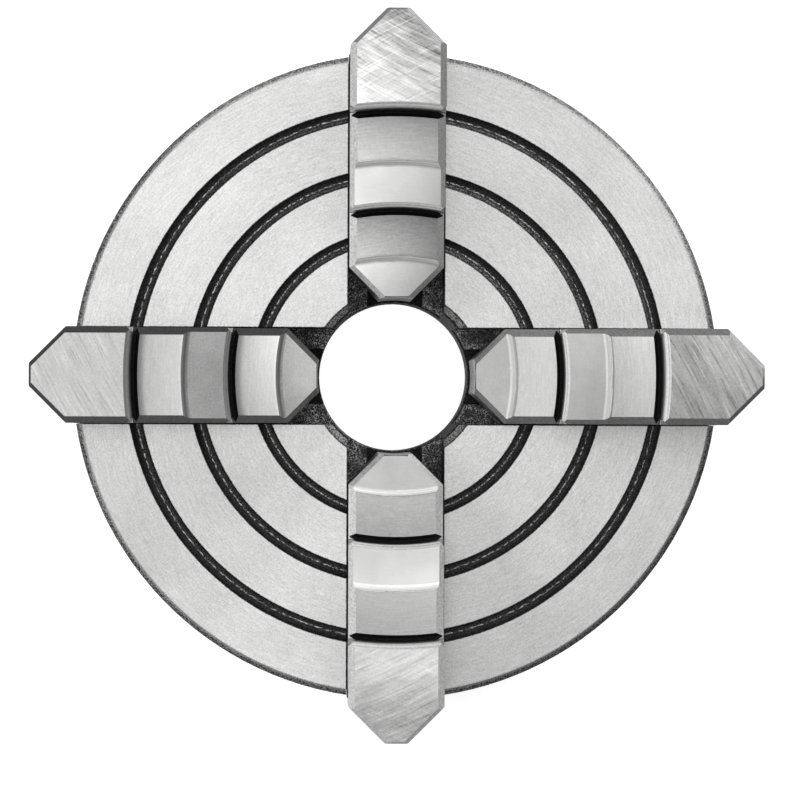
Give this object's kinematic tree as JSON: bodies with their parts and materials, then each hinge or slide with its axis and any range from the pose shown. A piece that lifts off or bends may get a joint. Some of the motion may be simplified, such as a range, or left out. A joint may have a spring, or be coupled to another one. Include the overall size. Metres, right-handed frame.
{
  "type": "lathe chuck",
  "caption": "Round lathe chuck whose stepped jaws each slide in a face slot on their own screw, turned by a square key in the rim, to grip work on or off centre.",
  "frame": {"origin": "centre of the bore in the plane of the back rim", "axes": "+Z along the spindle axis from the back rim towards the jaws, +X along jaw 1, +Y along jaw 2"},
  "size_m": [0.1386, 0.1386, 0.058],
  "materials": {
    "body_iron": "ground face and rim, black oxide in the slots, grooves and bore",
    "jaw_steel": "hardened and ground",
    "screw_steel": "black oxide, oiled",
    "thrust_steel": "dark turned steel"
  },
  "bodies": {
    "body": {"chuck_body": "body_iron", "thrust_block_1": "thrust_steel", "thrust_block_2": "thrust_steel", "thrust_block_3": "thrust_steel", "thrust_block_4": "thrust_steel"},
    "screw_1": {"jaw_screw_1": "screw_steel"},
    "jaw_1": {"jaw_1": "jaw_steel"},
    "screw_2": {"jaw_screw_2": "screw_steel"},
    "jaw_2": {"jaw_2": "jaw_steel"},
    "screw_3": {"jaw_screw_3": "screw_steel"},
    "jaw_3": {"jaw_3": "jaw_steel"},
    "screw_4": {"jaw_screw_4": "screw_steel"},
    "jaw_4": {"jaw_4": "jaw_steel"}
  },
  "joints": [
    {"name": "screw_1_turn", "type": "hinge", "parent": "body", "child": "screw_1", "pos_m": [0.0364, 0, 0.0155], "axis": [1, 0, 0], "range_deg": [-1320, 1440]},
    {"name": "jaw_1_slide", "type": "slide", "parent": "body", "child": "jaw_1", "axis": [1, 0, 0], "range_m": [-0.011, 0.012]},
    {"name": "screw_2_turn", "type": "hinge", "parent": "body", "child": "screw_2", "pos_m": [0, 0.0364, 0.0155], "axis": [0, 1, 0], "range_deg": [-1320, 1440]},
    {"name": "jaw_2_slide", "type": "slide", "parent": "body", "child": "jaw_2", "axis": [0, 1, 0], "range_m": [-0.011, 0.012]},
    {"name": "screw_3_turn", "type": "hinge", "parent": "body", "child": "screw_3", "pos_m": [-0.0364, 0, 0.0155], "axis": [-1, 0, 0], "range_deg": [-1320, 1440]},
    {"name": "jaw_3_slide", "type": "slide", "parent": "body", "child": "jaw_3", "axis": [-1, 0, 0], "range_m": [-0.011, 0.012]},
    {"name": "screw_4_turn", "type": "hinge", "parent": "body", "child": "screw_4", "pos_m": [0, -0.0364, 0.0155], "axis": [0, -1, 0], "range_deg": [-1320, 1440]},
    {"name": "jaw_4_slide", "type": "slide", "parent": "body", "child": "jaw_4", "axis": [0, -1, 0], "range_m": [-0.011, 0.012]}
  ],
  "couplings": [
    {"joint": "screw_1_turn", "follows": "jaw_1_slide", "rad_per_m": 2094.4},
    {"joint": "screw_2_turn", "follows": "jaw_2_slide", "rad_per_m": 2094.4},
    {"joint": "screw_3_turn", "follows": "jaw_3_slide", "rad_per_m": 2094.4},
    {"joint": "screw_4_turn", "follows": "jaw_4_slide", "rad_per_m": 2094.4}
  ]
}
